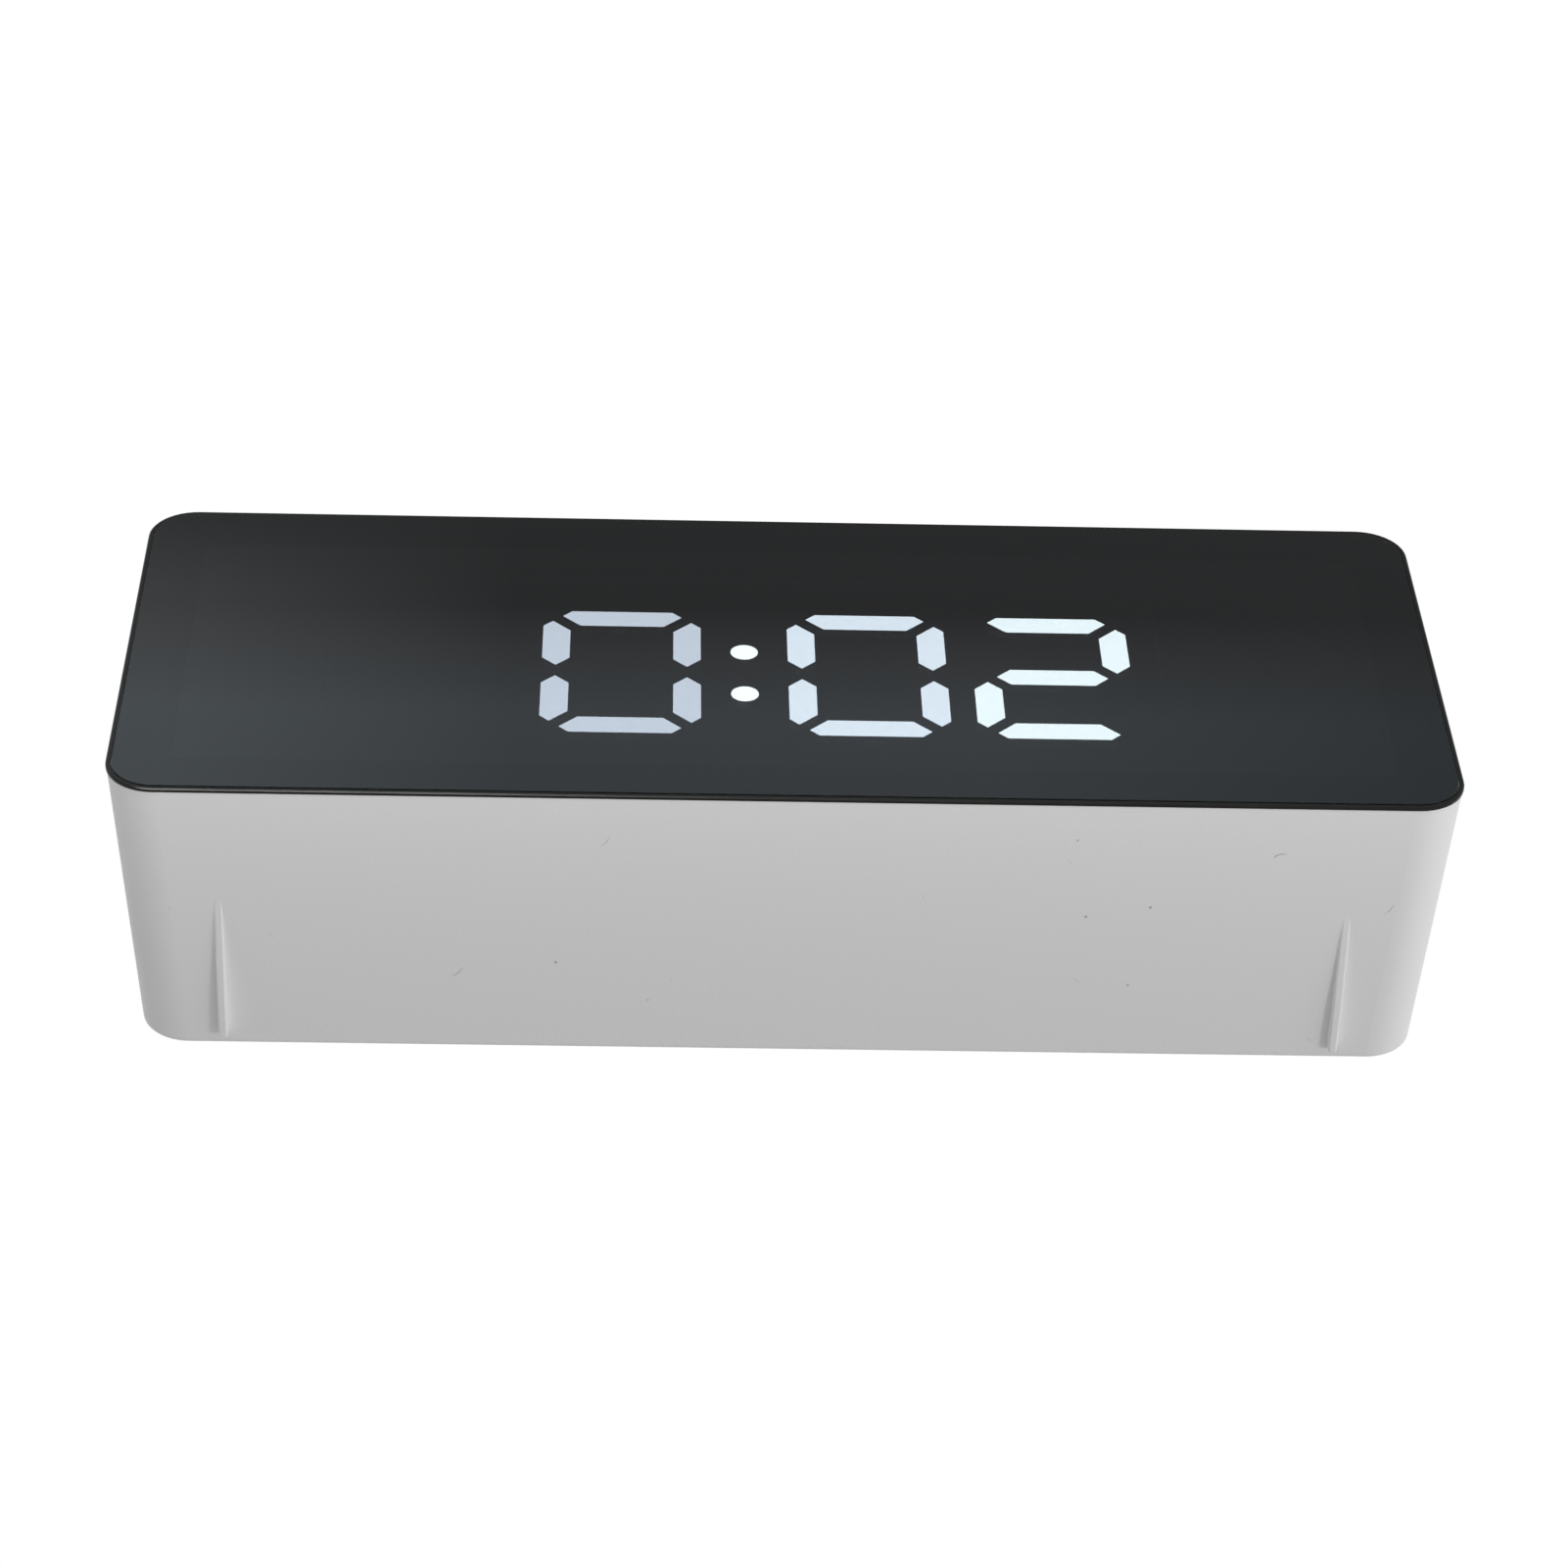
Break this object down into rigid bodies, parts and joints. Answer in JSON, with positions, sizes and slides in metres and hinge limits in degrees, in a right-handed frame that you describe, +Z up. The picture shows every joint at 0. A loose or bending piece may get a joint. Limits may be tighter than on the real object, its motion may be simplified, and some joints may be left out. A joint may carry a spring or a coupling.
{
  "type": "alarm clock",
  "caption": "Free-standing digital alarm clock: white drafted tub behind a smoked half-mirror with lit segment digits, foot ribs, keys and switch on the back, battery door.",
  "frame": {"origin": "middle of the bottom of the bounding box, on the plane the clock stands on", "axes": "+X to the right seen from the front, mirror faces -Y, +Z up"},
  "size_m": [0.1416, 0.0336, 0.057],
  "materials": {
    "white_shell": "white moulded ABS with a fine satin surface",
    "white_door": "white moulded ABS with a fine satin surface",
    "white_keys": "white moulded ABS, smoother than the shell",
    "smoked_mirror": "smoked half-mirror acrylic, glossy",
    "black_tape": "black foam tape",
    "black_plastic": "matt black moulded plastic",
    "lit_diffuser": "milky diffuser, lit cool white",
    "unlit_diffuser": "milky diffuser, unlit behind smoke",
    "circuit_board": "green glass-fibre circuit board",
    "screw_steel": "zinc plated steel",
    "spring_steel": "nickel plated spring steel",
    "bright_metal": "nickel plated sheet steel",
    "gold_pins": "gold flashed brass",
    "chip_black": "matt black moulded epoxy",
    "led_body": "clear to yellowish lens",
    "capacitor_sleeve": "dark blue sleeve",
    "cell_wrap": "plain silver sleeve over a steel can",
    "red_wire": "red insulation",
    "black_wire": "black insulation"
  },
  "bodies": {
    "clock": {"housing": "white_shell", "mirror_panel": "smoked_mirror", "mirror_bezel": "black_plastic", "panel_tape": "black_tape", "front_frame": "black_plastic", "frame_screws": "screw_steel", "display_block": "black_plastic", "hours_digit": "lit_diffuser", "tens_digit": "lit_diffuser", "minutes_digit": "lit_diffuser", "colon_dots": "lit_diffuser", "unlit_segments": "unlit_diffuser", "display_board": "circuit_board", "segment_leds": "led_body", "display_screws": "screw_steel", "main_board": "circuit_board", "board_screws": "screw_steel", "controller_chip": "chip_black", "crystal": "bright_metal", "capacitor": "capacitor_sleeve", "header_strips": "black_plastic", "header_pins": "gold_pins", "buzzer": "black_plastic", "tact_switches": "black_plastic", "inlet_shell": "bright_metal", "inlet_tongue": "black_plastic", "switch_body": "bright_metal", "battery_cells": "cell_wrap", "battery_springs": "spring_steel", "contact_plates": "bright_metal", "plus_lead": "red_wire", "minus_lead": "black_wire"},
    "snooze_key": {"snooze_bar": "white_keys", "snooze_plunger": "black_plastic"},
    "alarm_slider": {"switch_slider": "black_plastic"},
    "door": {"battery_door": "white_door"},
    "mode_key": {"mode_button": "white_keys", "mode_plunger": "black_plastic"},
    "set_key": {"set_button": "white_keys", "set_plunger": "black_plastic"},
    "up_key": {"up_button": "white_keys", "up_plunger": "black_plastic"},
    "down_key": {"down_button": "white_keys", "down_plunger": "black_plastic"}
  },
  "joints": [
    {"name": "mode_press", "type": "slide", "parent": "clock", "child": "mode_key", "axis": [0, -1, 0], "range_m": [0, 0.0005], "stiffness_N_per_m": 3000},
    {"name": "set_press", "type": "slide", "parent": "clock", "child": "set_key", "axis": [0, -1, 0], "range_m": [0, 0.0005], "stiffness_N_per_m": 3000},
    {"name": "up_press", "type": "slide", "parent": "clock", "child": "up_key", "axis": [0, -1, 0], "range_m": [0, 0.0005], "stiffness_N_per_m": 3000},
    {"name": "down_press", "type": "slide", "parent": "clock", "child": "down_key", "axis": [0, -1, 0], "range_m": [0, 0.0005], "stiffness_N_per_m": 3000},
    {"name": "snooze_press", "type": "slide", "parent": "clock", "child": "snooze_key", "axis": [0, 0, -1], "range_m": [0, 0.0007], "stiffness_N_per_m": 3000},
    {"name": "alarm_slide", "type": "slide", "parent": "clock", "child": "alarm_slider", "axis": [1, 0, 0], "range_m": [0, 0.002]},
    {"name": "door_hinge", "type": "hinge", "parent": "clock", "child": "door", "pos_m": [-0.033, 0.01565, 0.0106], "axis": [-1, 0, 0], "range_deg": [0, 90]}
  ]
}
